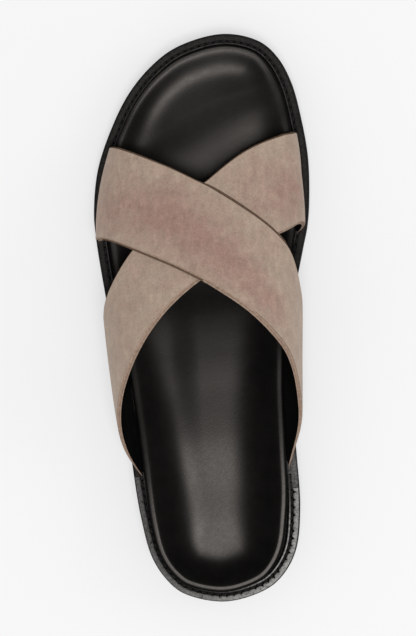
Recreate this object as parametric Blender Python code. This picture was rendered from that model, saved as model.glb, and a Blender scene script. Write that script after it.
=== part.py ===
"""Crossover slide sandal for the left foot, modelled as its maker would put it together.

Five pieces: a rubber outsole with a low heel, a leather welt all round, a rand outside it at the heel,
a moulded footbed, and an upper of two wide straps that are joined where they cross.

Frame: +X towards the big toe (medial side), +Y towards the toe, +Z up, floor at Z = 0.
A station is the distance from the back of the heel along +Y. An inset is the distance inwards from the
sole's edge. The tables hold millimetres and Blender's own unit is the metre.
"""

import math

import bmesh
import bpy
from mathutils import Vector

MM = 0.001

# Driving sizes of the sole
LENGTH = 287 * MM
TOE_TIP_X = 16.5 * MM
HEEL_BACK_X = 0.5 * MM
TOE_SPRING = 7 * MM
SPRING_START = 205 * MM
HEEL_BREAST = 60 * MM
BREAST_HEIGHT = 6.5 * MM
BREAST_RADIUS = 3 * MM
ARCH_FRONT = 148 * MM
ARCH_CUT_DEPTH = 5 * MM
ARCH_RUNOUT = 0.05 * MM
SOLE_EDGE_ROUND = 1.4 * MM
SOLE_SIDE_DRAFT = 0.6 * MM
SOLE_TOP_ROUND = 1.2 * MM

# Fits and walls
GAP = 0.3 * MM
FOOTBED_WALL_INSET = 6.6 * MM
RIM_BEAD = 2 * MM
RIM_FLAT = 0.6 * MM
RIM_SOFTNESS = 3 * MM
ARCH_SIDE_REACH = 20 * MM
WALL_POWER = 3
CROWN_SIDES = (-21 * MM, -5 * MM)
BAR_SLANT = 0.5
BAR_MIDDLE = 8 * MM
BAR_STATION = 236 * MM
BAR_REACH = 42 * MM
STRAP_SEAT_INSET = 5.5 * MM
STRAP_THICKNESS = 1.9 * MM
STRAP_END_THICKNESS = 1.5 * MM
STRAP_OVERLAP = 0.5 * MM
STRAP_ROOM_DEPTH = 4 * MM

# Mesh fineness
OUTLINE_STEPS = 112
STRAP_STEPS_ALONG = 38
STRAP_STEPS_ACROSS = 8
CURVE_STEPS = 24
ARCH_STEPS = 8
BREAST_STEPS = 4
SHARP_ANGLE = math.radians(40)

# Rings of the sole and the footbed: insets, steps inwards from the rim's crest, shares of the way to the spine
FLAT_INSET = 12 * MM
SPINE_INSET = 16 * MM
SPINE_SHARES = (0.4, 0.85)
SPINE_ENDS = (34 * MM, 246 * MM)
RIM_STEPS = (-2.0, -1.4, 0, 1.2, 2.9, 5.4, 8.4, 11.4)
FOOTBED_SPINE_SHARES = (0.2, 0.4, 0.6, 0.8, 0.92)

# Sole outline from above
OUTLINE_COLUMNS = ("station", "lateral", "medial")
OUTLINE = (
    (5, -20.0, 21.3),
    (12, -28.2, 30.4),
    (24, -35.3, 37.5),
    (45, -39.9, 40.9),
    (78, -43.4, 40.6),
    (112, -46.8, 40.2),
    (145, -50.3, 43.0),
    (175, -53.8, 50.1),
    (187, -54.9, 53.2),
    (200, -55.3, 54.9),
    (222, -52.0, 55.6),
    (243, -43.6, 53.2),
    (260, -33.6, 49.6),
    (273, -21.4, 43.6),
    (282, -7.4, 34.6),
)

# Top of the sole, the plane that the welt and the footbed lie on
SOLE_TOP_COLUMNS = ("station", "top")
SOLE_TOP = (
    (0, 27.0),
    (60, 25.0),
    (110, 20.0),
    (160, 16.4),
    (205, 15.0),
    (245, 16.0),
    (287, 20.0),
)

# Sections of the welt, and of the rand that lies outside it at the heel: inset, height over the sole's top
WELT_SECTION = (
    (0.6, 0.3),
    (0.6, 2.0),
    (1.2, 2.6),
    (4.5, 2.6),
    (4.9, 3.2),
    (5.3, 3.4),
    (5.8, 3.0),
    (5.8, 0.3),
)
RAND_SECTION = (
    (0.2, 0.3),
    (0.2, 2.2),
    (0.8, 2.9),
    (2.7, 2.9),
    (3.3, 2.4),
    (3.3, 0.3),
)
RAND_ROOM = (
    (-1.0, -1.0),
    (-1.0, 6.0),
    (3.6, 6.0),
    (3.6, -1.0),
)
RAND_ENDS = {"lateral": 65 * MM, "medial": 56 * MM}

# Footbed over the sole's top: bed and its crown, rim on each side, how wide each wall is, insets of the rim's crest
FOOTBED_COLUMNS = (
    "station",
    "bed",
    "crown",
    "lateral_rim",
    "medial_rim",
    "lateral_wall",
    "medial_wall",
    "lateral_crest",
    "medial_crest",
)
FOOTBED = (
    (0, 5.0, 0.0, 13.5, 13.5, 13, 13, 8.4, 8.4),
    (20, 4.7, 0.0, 13.7, 13.8, 14.5, 14.5, 7.4, 9.1),
    (40, 4.6, 0.0, 13.8, 14.0, 23, 25, 7.4, 8.7),
    (60, 4.5, 0.2, 13.4, 14.4, 25, 26, 8.1, 7.6),
    (85, 5.8, 0.5, 12.6, 15.0, 25, 26, 8.6, 6.7),
    (106, 6.3, 0.85, 11.6, 15.0, 22.5, 24, 8.6, 5.9),
    (125, 6.5, 1.1, 10.6, 14.6, 21, 23, 8.6, 5.4),
    (145, 6.35, 0.9, 9.6, 12.9, 21, 23, 8.6, 5.7),
    (165, 4.7, 0.4, 8.8, 11.0, 22, 24, 8.6, 6.4),
    (200, 5.9, 0.0, 8.8, 9.0, 22, 22, 8.6, 8.2),
    (217, 5.5, 0.0, 8.9, 9.0, 20, 20, 8.6, 8.4),
    (237, 5.6, 0.0, 8.2, 8.4, 17, 17, 8.6, 8.6),
    (252, 4.2, 0.0, 6.8, 6.7, 13.5, 14.5, 8.6, 8.6),
    (268, 2.7, 0.0, 5.5, 5.0, 14, 13, 8.6, 8.6),
    (287, 3.6, 0.0, 4.6, 4.4, 15, 13, 8.6, 8.6),
)

# Inside of the upper, the last that the straps are drawn over
LAST_COLUMNS = ("station", "lateral", "medial", "side_height", "ridge", "ridge_height")
LAST = (
    (60, -39.9, 38.6, 42, 2, 112),
    (92, -45.0, 43.0, 44, 2, 104),
    (120, -47.6, 44.8, 43, 2, 96),
    (145, -49.2, 46.4, 41, 3, 88),
    (165, -50.2, 47.0, 38, 4, 80),
    (187, -51.3, 50.2, 35, 5, 69),
    (212, -48.0, 50.0, 32, 6, 57),
    (245, -37.3, 47.0, 30, 8, 45),
)
SIDE_SHARE = 0.12
LEAN_START = 0.4
SHARE_STEP = 0.01

# Straps: share of the way over the foot from the lateral seat to the medial seat, then both edges' stations
STRAP_COLUMNS = ("share", "front", "rear")
UNDER_STRAP = (
    (0.00, 118, 65),
    (0.12, 142, 84),
    (0.25, 164, 113),
    (0.40, 193, 148),
    (0.50, 211, 165),
    (0.60, 224, 176),
    (0.75, 232, 185.4),
    (0.81, 233, 188),
    (0.88, 234, 187.6),
    (1.00, 234, 184.5),
)
OVER_STRAP = (
    (0.00, 231, 188),
    (0.12, 232, 187),
    (0.25, 229.5, 184.6),
    (0.40, 219, 172),
    (0.50, 207, 160),
    (0.60, 193.7, 147),
    (0.67, 184.3, 136),
    (0.75, 173, 122),
    (0.88, 149.5, 92),
    (1.00, 124, 65),
)
CROSSING_SHARES = (0.30, 0.71)
LIFT_RUN = 0.14


# Curves


def smooth_curve(knots, values):
    """A smooth function through the given values, with the end slopes of its outer spans."""
    last = len(knots) - 1
    spans = [(values[i + 1] - values[i]) / (knots[i + 1] - knots[i]) for i in range(last)]
    slopes = [spans[0], *((spans[i - 1] + spans[i]) / 2 for i in range(1, last)), spans[-1]]

    def value_at(place):
        place = min(max(place, knots[0]), knots[-1])
        i = max(k for k in range(last) if k == 0 or knots[k] <= place)
        width = knots[i + 1] - knots[i]
        t = (place - knots[i]) / width
        rise = values[i + 1] - values[i]
        start, end = slopes[i] * width, slopes[i + 1] * width
        return values[i] + start * t + (3 * rise - 2 * start - end) * t**2 + (start + end - 2 * rise) * t**3

    return value_at


def table_curves(columns, rows, key_unit=MM):
    """One smooth function for each named column of a table, over the table's first column."""
    knots = [row[0] * key_unit for row in rows]
    return {
        name: smooth_curve(knots, [row[index] * MM for row in rows])
        for index, name in enumerate(columns)
        if index
    }


def ease(share):
    """0 to 1 with no slope at either end."""
    share = min(max(share, 0.0), 1.0)
    return share * share * (3 - 2 * share)


def outline_controls():
    """The outline's control points as (x, station), from the heel up the medial side and back down."""
    rows = [tuple(value * MM for value in row) for row in OUTLINE]
    medial = [(row[2], row[0]) for row in rows]
    lateral = [(row[1], row[0]) for row in reversed(rows)]
    return [(HEEL_BACK_X, 0.0), *medial, (TOE_TIP_X, LENGTH), *lateral]


def dense_outline():
    """The smooth closed outline as many short chords."""
    controls = [Vector(point) for point in outline_controls()]
    count = len(controls)
    points = []
    for i in range(count):
        p0, p1, p2, p3 = (controls[(i + k) % count] for k in (-1, 0, 1, 2))
        gaps = [math.sqrt((b - a).length) for a, b in ((p0, p1), (p1, p2), (p2, p3))]
        leave = ((p1 - p0) / gaps[0] - (p2 - p0) / (gaps[0] + gaps[1]) + (p2 - p1) / gaps[1]) * gaps[1]
        arrive = ((p2 - p1) / gaps[1] - (p3 - p1) / (gaps[1] + gaps[2]) + (p3 - p2) / gaps[2]) * gaps[1]
        for step in range(CURVE_STEPS):
            t = step / CURVE_STEPS
            rise = p2 - p1
            bend = (3 * rise - 2 * leave - arrive) * t**2 + (leave + arrive - 2 * rise) * t**3
            points.append(p1 + leave * t + bend)
    return points


DENSE = dense_outline()
ARCS = [0.0]
for start, end in zip(DENSE, DENSE[1:] + DENSE[:1]):
    ARCS.append(ARCS[-1] + (end - start).length)
PERIMETER = ARCS[-1]
TOE_INDEX = max(range(len(DENSE)), key=lambda i: DENSE[i].y)
SOLE = table_curves(SOLE_TOP_COLUMNS, SOLE_TOP)
BED = table_curves(FOOTBED_COLUMNS, FOOTBED)
SHAPE = table_curves(LAST_COLUMNS, LAST)


def outline_at(arc, inset=0.0):
    """(x, station) on the outline after that length from the heel, moved inwards by the inset."""
    arc %= PERIMETER
    low, high = 0, len(DENSE)
    while high - low > 1:
        middle = (low + high) // 2
        low, high = (middle, high) if ARCS[middle] <= arc else (low, middle)
    count = len(DENSE)
    share = (arc - ARCS[low]) / (ARCS[low + 1] - ARCS[low])
    point = DENSE[low].lerp(DENSE[(low + 1) % count], share)
    before = DENSE[(low + 1) % count] - DENSE[low - 1]
    after = DENSE[(low + 2) % count] - DENSE[low]
    tangent = before.lerp(after, share).normalized()
    return point + Vector((-tangent.y, tangent.x)) * inset


def side_points(side):
    """The outline's points on one side, from heel to toe."""
    if side == "medial":
        return DENSE[: TOE_INDEX + 1]
    return [DENSE[0], *reversed(DENSE[TOE_INDEX:])]


SIDES = {side: side_points(side) for side in ("lateral", "medial")}


def edge_x(side, station):
    """x of the sole's edge, and how it changes, at a station away from toe tip and heel back."""
    points = SIDES[side]
    index = next(i for i in range(1, len(points)) if points[i].y >= station or i == len(points) - 1)
    a, b = points[index - 1], points[index]
    slope = (b.x - a.x) / (b.y - a.y)
    return a.x + slope * (station - a.y), slope


def arc_of(side, station):
    """Length along the outline, from the heel, of a station on one side."""
    found = range(TOE_INDEX) if side == "medial" else range(TOE_INDEX, len(DENSE) - 1)
    index = min(found, key=lambda i: abs(DENSE[i].y - station))
    return ARCS[index]


def sole_bottom(station):
    """Height of the sole's underside: flat, then rising to the toe."""
    reach = max(0.0, (station - SPRING_START) / (LENGTH - SPRING_START))
    return TOE_SPRING * reach**2


def place(x, station, height):
    """A point of the shoe in the part's frame."""
    return Vector((x, station - LENGTH / 2, height))


# Rings round the sole


def spine_point(station):
    """The middle of the shoe at a station, held clear of toe and heel."""
    station = min(max(station, SPINE_ENDS[0]), SPINE_ENDS[1])
    middle = (edge_x("lateral", station)[0] + edge_x("medial", station)[0]) / 2
    return Vector((middle, station))


def ring_plan(inset, share_to_spine=0.0):
    """Plan points of a ring at an inset, drawn in towards the spine by a share, with their distance in."""
    plan = []
    for step in range(OUTLINE_STEPS):
        edge = outline_at(step * PERIMETER / OUTLINE_STEPS, inset)
        way = (spine_point(edge.y) - edge) * share_to_spine
        plan.append((edge + way, inset + way.length))
    return plan


def ring(inset, height, share_to_spine=0.0):
    """A ring of points; height is a function of x, station and distance in from the edge."""
    return [
        place(plan.x, plan.y, height(plan.x, plan.y, inwards))
        for plan, inwards in ring_plan(inset, share_to_spine)
    ]


def on_sole(rise):
    """A height function that follows the sole's top."""
    return lambda x, station, inwards: SOLE["top"](station) + rise


def on_ground(rise):
    """A height function that follows the sole's underside."""
    return lambda x, station, inwards: sole_bottom(station) + rise


def rim_inset(arc):
    """Inset of the rim's crest at a length along the outline."""
    plan = outline_at(arc)
    return BED["medial_crest" if arc < ARCS[TOE_INDEX] else "lateral_crest"](plan.y)


CREST = [outline_at(arc, rim_inset(arc)) for arc in ARCS[:-1]]


def footbed_height(x, station, within):
    """Top of the footbed, at a distance within the rim's crest: a rolled rim, falling walls, bed and toe bar."""
    across = (x - spine_point(station).x) / ARCH_SIDE_REACH
    medial = ease(0.5 + across / 2)
    rim = BED["lateral_rim"](station) * (1 - medial) + BED["medial_rim"](station) * medial
    wall = BED["lateral_wall"](station) * (1 - medial) + BED["medial_wall"](station) * medial
    base = SOLE["top"](station)
    if within < 0:
        return base + rim - RIM_BEAD + math.sqrt(max(0.0, RIM_BEAD**2 - within**2))
    fall = (math.hypot(max(within - RIM_FLAT, 0.0), RIM_SOFTNESS) - RIM_SOFTNESS) / wall
    crowned = ease((x - CROWN_SIDES[0]) / (CROWN_SIDES[1] - CROWN_SIDES[0]))
    slant = BAR_SLANT * ease(1 - abs(station - BAR_STATION) / BAR_REACH)
    bed = BED["bed"](station + slant * (BAR_MIDDLE - x)) + BED["crown"](station) * crowned
    return base + bed + (rim - bed) * (1 - min(fall, 1.0)) ** WALL_POWER


def footbed_ring(within, share_to_spine=0.0):
    """A ring on the footbed's top, within the rim's crest and drawn in towards the spine by a share."""
    points = []
    for step in range(OUTLINE_STEPS):
        arc = step * PERIMETER / OUTLINE_STEPS
        edge = outline_at(arc, rim_inset(arc) + within)
        plan = edge.lerp(spine_point(edge.y), share_to_spine)
        inside = min((plan - point).length for point in CREST) if share_to_spine else within
        points.append(place(plan.x, plan.y, footbed_height(plan.x, plan.y, inside)))
    return points


# Building


def new_object(name, mesh_data, collection, material=None):
    """A bmesh made into a named object with outward faces."""
    bmesh.ops.remove_doubles(mesh_data, verts=mesh_data.verts, dist=0.001 * MM)
    bmesh.ops.recalc_face_normals(mesh_data, faces=mesh_data.faces)
    mesh = bpy.data.meshes.new(name)
    mesh_data.to_mesh(mesh)
    mesh_data.free()
    mesh.shade_smooth()
    mesh.set_sharp_from_angle(angle=SHARP_ANGLE)
    if material:
        mesh.materials.append(material)
    made = bpy.data.objects.new(name, mesh)
    collection.objects.link(made)
    return made


def band(mesh_data, lower, upper):
    """Faces between two closed loops of points."""
    count = len(lower)
    for i in range(count):
        after = (i + 1) % count
        mesh_data.faces.new((lower[i], lower[after], upper[after], upper[i]))


def skin(mesh_data, rows):
    """Faces between each closed row of points and the next."""
    loops = [[mesh_data.verts.new(point) for point in row] for row in rows]
    for lower, upper in zip(loops, loops[1:]):
        band(mesh_data, lower, upper)
    return loops


def cap(mesh_data, loop):
    """Fills a loop of points with triangles."""
    face = mesh_data.faces.new(loop)
    bmesh.ops.triangulate(mesh_data, faces=[face])


def stacked_solid(name, rings, collection, material):
    """A closed solid from rings stacked from the middle of its underside to the middle of its top."""
    mesh_data = bmesh.new()
    rows = skin(mesh_data, rings)
    cap(mesh_data, rows[0])
    cap(mesh_data, rows[-1])
    return new_object(name, mesh_data, collection, material)


def edge_strip(name, section, start, end, collection, material=None):
    """A strip that follows the sole's edge between two lengths along it, or all the way round."""
    whole = end - start > PERIMETER - GAP
    count = round((end - start) / (PERIMETER / OUTLINE_STEPS))
    rows = []
    for step in range(count if whole else count + 1):
        arc = start + (end - start) * step / count
        row = []
        for inset, rise in section:
            plan = outline_at(arc, inset * MM)
            row.append(place(plan.x, plan.y, SOLE["top"](plan.y) + rise * MM))
        rows.append(row)
    mesh_data = bmesh.new()
    loops = skin(mesh_data, rows)
    if whole:
        band(mesh_data, loops[-1], loops[0])
    else:
        cap(mesh_data, loops[0])
        cap(mesh_data, loops[-1])
    return new_object(name, mesh_data, collection, material)


# Straps


def last_point(share, station):
    """A point on the last at a share of the way over from the lateral seat to the medial seat."""
    side = "lateral" if share < 0.5 else "medial"
    beside = min(share, 1 - share)
    ridge = SHAPE["ridge"](station)
    reach = SHAPE[side](station) - ridge
    side_height = SHAPE["side_height"](station)
    if beside < SIDE_SHARE:
        edge, slope = edge_x(side, station)
        inwards = STRAP_SEAT_INSET * math.hypot(1, slope)
        seat = edge + inwards if side == "lateral" else edge - inwards
        foot = SOLE["top"](station) + GAP
        climb = beside / SIDE_SHARE
        lean = ridge + reach - seat
        outwards = lean * reach > 0
        x = seat + lean * (1 - (1 - climb) ** 2 if outwards else ease((climb - LEAN_START) / (1 - LEAN_START)))
        return place(x, station, foot + (side_height - foot) * climb)
    turn = math.pi / 2 * (beside - SIDE_SHARE) / (0.5 - SIDE_SHARE)
    rise = SHAPE["ridge_height"](station) - side_height
    return place(ridge + reach * math.cos(turn), station, side_height + rise * math.sin(turn))


def last_normal(share, station):
    """The outward direction of the last, level at the seats so that the ends stand square on the sole."""
    low, high = max(share - SHARE_STEP, 0.0), min(share + SHARE_STEP, 1.0)
    across = last_point(high, station) - last_point(low, station)
    along = last_point(share, station + MM) - last_point(share, station - MM)
    normal = across.cross(along).normalized()
    normal.z *= ease(min(share, 1 - share) / (SIDE_SHARE / 2))
    return normal.normalized()


def strap_lift(share):
    """How far the upper strap stands off the last, where it passes over the lower one."""
    first, second = CROSSING_SHARES
    up = ease((share - first + LIFT_RUN) / LIFT_RUN)
    down = ease((second + LIFT_RUN - share) / LIFT_RUN)
    return (STRAP_THICKNESS - STRAP_OVERLAP) * min(up, down)


def strap_thickness(share):
    """Full thickness, thinned where the ends are tucked in beside the footbed."""
    beside = min(share, 1 - share)
    return STRAP_END_THICKNESS + (STRAP_THICKNESS - STRAP_END_THICKNESS) * ease(beside / SIDE_SHARE)


def strap(name, rows, lifted, collection, material=None, spare=0.0, depth=0.0):
    """One strap as a closed solid; spare grows it on every side, and depth on its inner side."""
    edges = table_curves(STRAP_COLUMNS, rows, key_unit=1)
    sections = []
    for step in range(STRAP_STEPS_ALONG + 1):
        share = step / STRAP_STEPS_ALONG
        rear, front = edges["rear"](share) - spare, edges["front"](share) + spare
        lift = strap_lift(share) if lifted else 0.0
        inner, outer = [], []
        for across in range(STRAP_STEPS_ACROSS + 1):
            station = rear + (front - rear) * across / STRAP_STEPS_ACROSS
            point, normal = last_point(share, station), last_normal(share, station)
            inner.append(point + normal * (lift - depth))
            outer.append(point + normal * (lift + strap_thickness(share) + spare))
        sections.append(inner + outer[::-1])
    if spare:
        for section, end in ((sections[0], sections[1]), (sections[-1], sections[-2])):
            for i, point in enumerate(section):
                section[i] = point + (point - end[i]).normalized() * spare
    mesh_data = bmesh.new()
    loops = skin(mesh_data, sections)
    cap(mesh_data, loops[0])
    cap(mesh_data, loops[-1])
    return new_object(name, mesh_data, collection, material)


def boolean(target, operation, other):
    """Adds an exact Boolean of another mesh object to the target."""
    modifier = target.modifiers.new(f"{operation.lower()}_{other.name}", "BOOLEAN")
    modifier.operation = operation
    modifier.object = other
    modifier.solver = "EXACT"


def helper(made):
    """Marks an object as a cutter or guide that is no part of the shoe."""
    made.hide_render = True
    made.display_type = "WIRE"
    return made


def arch_profile():
    """Side profile of the hollow under the waist, as (station, height), from the heel's breast forwards."""
    corner = (HEEL_BREAST + BREAST_RADIUS, BREAST_HEIGHT - BREAST_RADIUS)
    profile = [(HEEL_BREAST, -ARCH_CUT_DEPTH)]
    for step in range(BREAST_STEPS + 1):
        turn = math.pi / 2 * step / BREAST_STEPS
        station = corner[0] - BREAST_RADIUS * math.cos(turn)
        profile.append((station, corner[1] + BREAST_RADIUS * math.sin(turn)))
    for step in range(1, ARCH_STEPS + 1):
        share = step / ARCH_STEPS
        station = corner[0] + (ARCH_FRONT - corner[0]) * share
        profile.append((station, BREAST_HEIGHT * (1 - ease(share)) - ARCH_RUNOUT * share))
    return [*profile, (ARCH_FRONT, -ARCH_CUT_DEPTH)]


def arch_cutter(collection):
    """The hollow under the waist as a bar across the sole."""
    profile = arch_profile()
    mesh_data = bmesh.new()
    rows = [[place(x, station, height) for station, height in profile] for x in (-LENGTH / 4, LENGTH / 4)]
    rows = skin(mesh_data, rows)
    cap(mesh_data, rows[0])
    cap(mesh_data, rows[1])
    return helper(new_object("arch_cutter", mesh_data, collection))


# Materials


def material(name, colour, roughness):
    """A plain Principled material."""
    made = bpy.data.materials.new(name)
    made.use_nodes = True
    made.diffuse_color = (*colour, 1)
    shader = made.node_tree.nodes["Principled BSDF"]
    shader.inputs["Base Color"].default_value = (*colour, 1)
    shader.inputs["Roughness"].default_value = roughness
    shader.inputs["Metallic"].default_value = 0.0
    return made


# Pieces


def make_outsole(collection, cutters):
    """Rubber outsole with toe spring, a hollow waist and a low heel."""
    ground, top = on_ground(0), on_sole(0)
    round_part = SOLE_EDGE_ROUND * 0.3
    rings = [
        *(ring(SPINE_INSET, ground, share) for share in reversed(SPINE_SHARES)),
        ring(FLAT_INSET, ground),
        ring(SOLE_SIDE_DRAFT + SOLE_EDGE_ROUND, ground),
        ring(SOLE_SIDE_DRAFT + round_part, on_ground(round_part)),
        ring(SOLE_SIDE_DRAFT, on_ground(SOLE_EDGE_ROUND)),
        ring(0.0, on_sole(-SOLE_TOP_ROUND)),
        ring(SOLE_TOP_ROUND / 2, top),
        ring(FLAT_INSET, top),
        *(ring(SPINE_INSET, top, share) for share in SPINE_SHARES),
    ]
    rubber = material("outsole_rubber", (0.02, 0.02, 0.02), 0.6)
    outsole = stacked_solid("outsole", rings, collection, rubber)
    boolean(outsole, "DIFFERENCE", arch_cutter(cutters))
    return outsole


def make_footbed(collection):
    """Moulded footbed with a rolled rim, heel cup, arch support and toe hollow."""
    under = on_sole(GAP)
    steps = [step * MM for step in RIM_STEPS]
    rings = [
        *(ring(SPINE_INSET, under, share) for share in reversed(SPINE_SHARES)),
        ring(FLAT_INSET, under),
        ring(FOOTBED_WALL_INSET, under),
        *(footbed_ring(step) for step in steps),
        *(footbed_ring(steps[-1], share) for share in FOOTBED_SPINE_SHARES),
    ]
    leather = material("footbed_leather", (0.012, 0.012, 0.012), 0.35)
    return stacked_solid("footbed", rings, collection, leather)


def make_upper(collection, cutters):
    """Both straps, joined where they cross."""
    suede = material("strap_suede", (0.36, 0.25, 0.2), 0.95)
    upper = strap("upper", UNDER_STRAP, False, collection, suede)
    over = helper(strap("over_strap", OVER_STRAP, True, cutters, suede))
    boolean(upper, "UNION", over)
    return upper


def make_edges(collection, cutters):
    """Welt all round, cut back for the straps' ends and for the rand that lies outside it at the heel."""
    lateral, medial = (arc_of(side, station) for side, station in RAND_ENDS.items())
    leather = material("welt_leather", (0.015, 0.015, 0.015), 0.5)
    welt = edge_strip("welt", WELT_SECTION, 0.0, PERIMETER, collection, leather)
    board = material("heel_rand", (0.09, 0.088, 0.085), 0.75)
    rand = edge_strip("heel_rand", RAND_SECTION, lateral, PERIMETER + medial, collection, board)
    room = edge_strip("rand_room", RAND_ROOM, lateral - GAP, PERIMETER + medial + GAP, cutters)
    boolean(welt, "DIFFERENCE", helper(room))
    for name, rows, lifted in (("under_room", UNDER_STRAP, False), ("over_room", OVER_STRAP, True)):
        room = strap(name, rows, lifted, cutters, spare=GAP, depth=STRAP_ROOM_DEPTH)
        boolean(welt, "DIFFERENCE", helper(room))
    return welt, rand


def main():
    for old in list(bpy.data.objects):
        bpy.data.objects.remove(old)
    parts = bpy.data.collections.new("crossover_sandal")
    cutters = bpy.data.collections.new("cutters")
    for collection in (parts, cutters):
        bpy.context.scene.collection.children.link(collection)
    shoe = bpy.data.objects.new("sandal", None)
    parts.objects.link(shoe)
    pieces = [
        make_outsole(parts, cutters),
        *make_edges(parts, cutters),
        make_footbed(parts),
        make_upper(parts, cutters),
    ]
    for piece in pieces:
        piece.parent = shoe


if __name__ == "__main__":
    main()
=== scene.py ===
"""Looks of the left crossover slide sandal.

Frame: +X towards the big toe (medial side), +Y towards the toe, +Z up, floor at Z = 0, in metres.
A station is the distance from the back of the heel along +Y. An inset is the distance inwards from the
sole's edge. A share is how far a point lies over the foot, from the lateral seat (0) to the medial seat (1).
The tables hold millimetres and follow the sizes of the solids that the pieces here stand for.
"""

import math

import bmesh
import bpy
import numpy as np
from mathutils import Matrix, Vector


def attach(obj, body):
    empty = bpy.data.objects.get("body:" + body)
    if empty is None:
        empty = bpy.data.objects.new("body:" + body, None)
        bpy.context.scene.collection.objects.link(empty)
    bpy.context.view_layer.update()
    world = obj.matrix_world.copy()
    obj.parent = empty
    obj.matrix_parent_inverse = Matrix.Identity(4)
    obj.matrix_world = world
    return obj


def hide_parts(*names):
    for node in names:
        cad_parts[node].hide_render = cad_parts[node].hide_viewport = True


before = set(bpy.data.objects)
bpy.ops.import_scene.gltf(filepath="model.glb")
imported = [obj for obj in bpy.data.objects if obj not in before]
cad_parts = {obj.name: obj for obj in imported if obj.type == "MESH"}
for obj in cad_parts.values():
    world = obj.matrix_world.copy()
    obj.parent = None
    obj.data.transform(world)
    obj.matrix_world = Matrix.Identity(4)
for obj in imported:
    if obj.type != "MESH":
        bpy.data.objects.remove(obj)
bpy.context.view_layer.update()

MM = 0.001
BODY = "root"

# Sole
LENGTH = 287 * MM
TOE_TIP_X = 16.5 * MM
HEEL_BACK_X = 0.5 * MM
TOE_SPRING = 7 * MM
SPRING_START = 205 * MM
HEEL_BREAST = 60 * MM
BREAST_HEIGHT = 6.5 * MM
BREAST_RADIUS = 3 * MM
ARCH_FRONT = 148 * MM
ARCH_CUT_DEPTH = 5 * MM
ARCH_FRONT_DROP = 0.05 * MM
ARCH_HALF_WIDTH = LENGTH / 4
RAND_ENDS = {"lateral": 65 * MM, "medial": 56 * MM}

# Fits and walls
GAP = 0.3 * MM
FOOTBED_WALL_INSET = 6.6 * MM
WALL_SHARES = (0.0, 0.33, 0.66)
WALL_POWER = 3
ARCH_SIDE_REACH = 20 * MM
CROWN_SIDES = (-21 * MM, -5 * MM)
SPINE_ENDS = (34 * MM, 246 * MM)

# Rim of the footbed, tucked closer to the welt round the toe
RIM_BEAD = 2 * MM
RIM_FLAT = 0.6 * MM
RIM_SQUARENESS = 3.2
RIM_SOFTNESS = 3 * MM
RIM_INNER_REACH = 4 * MM
LATERAL_TUCK = 1.8 * MM
TUCK_RANGE = (231 * MM, 240 * MM)
TIP_TUCK = 1.2 * MM
TIP_RANGE = (266 * MM, 287 * MM)
BEAD_PER_TUCK = 0.55
MEDIAL_ROLL = 0.75 * MM

# Toe bar
BAR_SLANT = 0.5
BAR_MIDDLE = 8 * MM
BAR_STATION = 236 * MM
BAR_REACH = 42 * MM

# Thickness and edges of the straps
STRAP_SEAT_INSET = 5.5 * MM
STRAP_THICKNESS = 1.9 * MM
STRAP_END_THICKNESS = 1.5 * MM
STRAP_ROOM_DEPTH = 4 * MM
STRAP_ROUND = 0.6 * MM
LINING_THICKNESS = 0.6 * MM
LINING_MARGIN = 0.7 * MM
LINING_ROUND = 0.12 * MM

# Sole outline from above: station, lateral, medial
OUTLINE = (
    (5, -20.0, 21.3),
    (12, -28.2, 30.4),
    (24, -35.3, 37.5),
    (45, -39.9, 40.9),
    (78, -43.4, 40.6),
    (112, -46.8, 40.2),
    (145, -50.3, 43.0),
    (175, -53.8, 50.1),
    (187, -54.9, 53.2),
    (200, -55.3, 54.9),
    (222, -52.0, 55.6),
    (243, -43.6, 53.2),
    (260, -33.6, 49.6),
    (273, -21.4, 43.6),
    (282, -7.4, 34.6),
)

# Top of the sole: station, height
SOLE_TOP = ((0, 27.0), (60, 25.0), (110, 20.0), (160, 16.4), (205, 15.0), (245, 16.0), (287, 20.0))

# Sections over the sole's top: inset, height
WELT_SECTION = (
    (0.6, 0.3), (0.6, 1.9), (0.75, 2.3), (1.1, 2.55), (1.6, 2.65), (3.3, 2.65),
    (3.6, 2.5), (3.8, 2.2), (4.65, 2.2), (4.75, 2.8), (4.85, 3.15), (5.0, 3.35),
    (5.15, 3.4), (5.35, 3.4), (5.5, 3.3), (5.6, 3.0), (5.65, 2.5), (5.7, 0.3),
)
RAND_SECTION = (
    (0.7, 0.3), (0.7, 2.0), (0.8, 2.45), (1.05, 2.8), (1.4, 2.9),
    (2.3, 2.9), (2.8, 2.8), (3.15, 2.5), (3.3, 2.1), (3.3, 0.3),
)
RAND_ROOM = ((-1.0, -1.0), (-1.0, 6.0), (3.5, 6.0), (3.5, -1.0))
WELT_LIP = (4.8, 5.55)
WELT_FLAT_SLOT, WELT_LIP_SLOT = range(2)

# Rings of the sole's wall: inset, rise and what it is counted from; in the middle the rise is a share
SOLE_LEVELS = (
    (2.0, 0.0, "bottom"),
    (1.3, 0.15, "bottom"),
    (0.85, 0.5, "bottom"),
    (0.6, 1.4, "bottom"),
    (0.3, 0.5, "middle"),
    (0.0, -1.2, "top"),
    (0.1, -0.6, "top"),
    (0.3, -0.2, "top"),
    (0.7, 0.0, "top"),
)
# Slots of the sole: rubber, and near-black painted shade on its top in the gap under the footbed's edge
RUBBER_SLOT, GAP_SHADE_SLOT = range(2)

# Stitches: rise and dip as shares of the thread's radius, ends of the taper as squares of such shares
STITCH_INSET = 4.15 * MM
STITCH_SURFACE = 2.2 * MM
STITCH_PITCH = 4.0 * MM
STITCH_LENGTH = 3.1 * MM
STITCH_RADIUS = 0.42 * MM
STITCH_RISE = 0.35
STITCH_DIP = 1.6
DIP_POWER = 4
TAPER_START = 1.05
TAPER_END = 0.1
TAPER_POWER = 6

# Stitch holes, near-black inside as painted shade: share of the radius, rise
HOLE_RADIUS = 0.55 * MM
HOLE_SECTION = ((0.3, -0.4), (1.0, -0.3), (1.0, 0.42), (0.85, 0.46), (0.6, 0.2), (0.2, 0.0))

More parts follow.
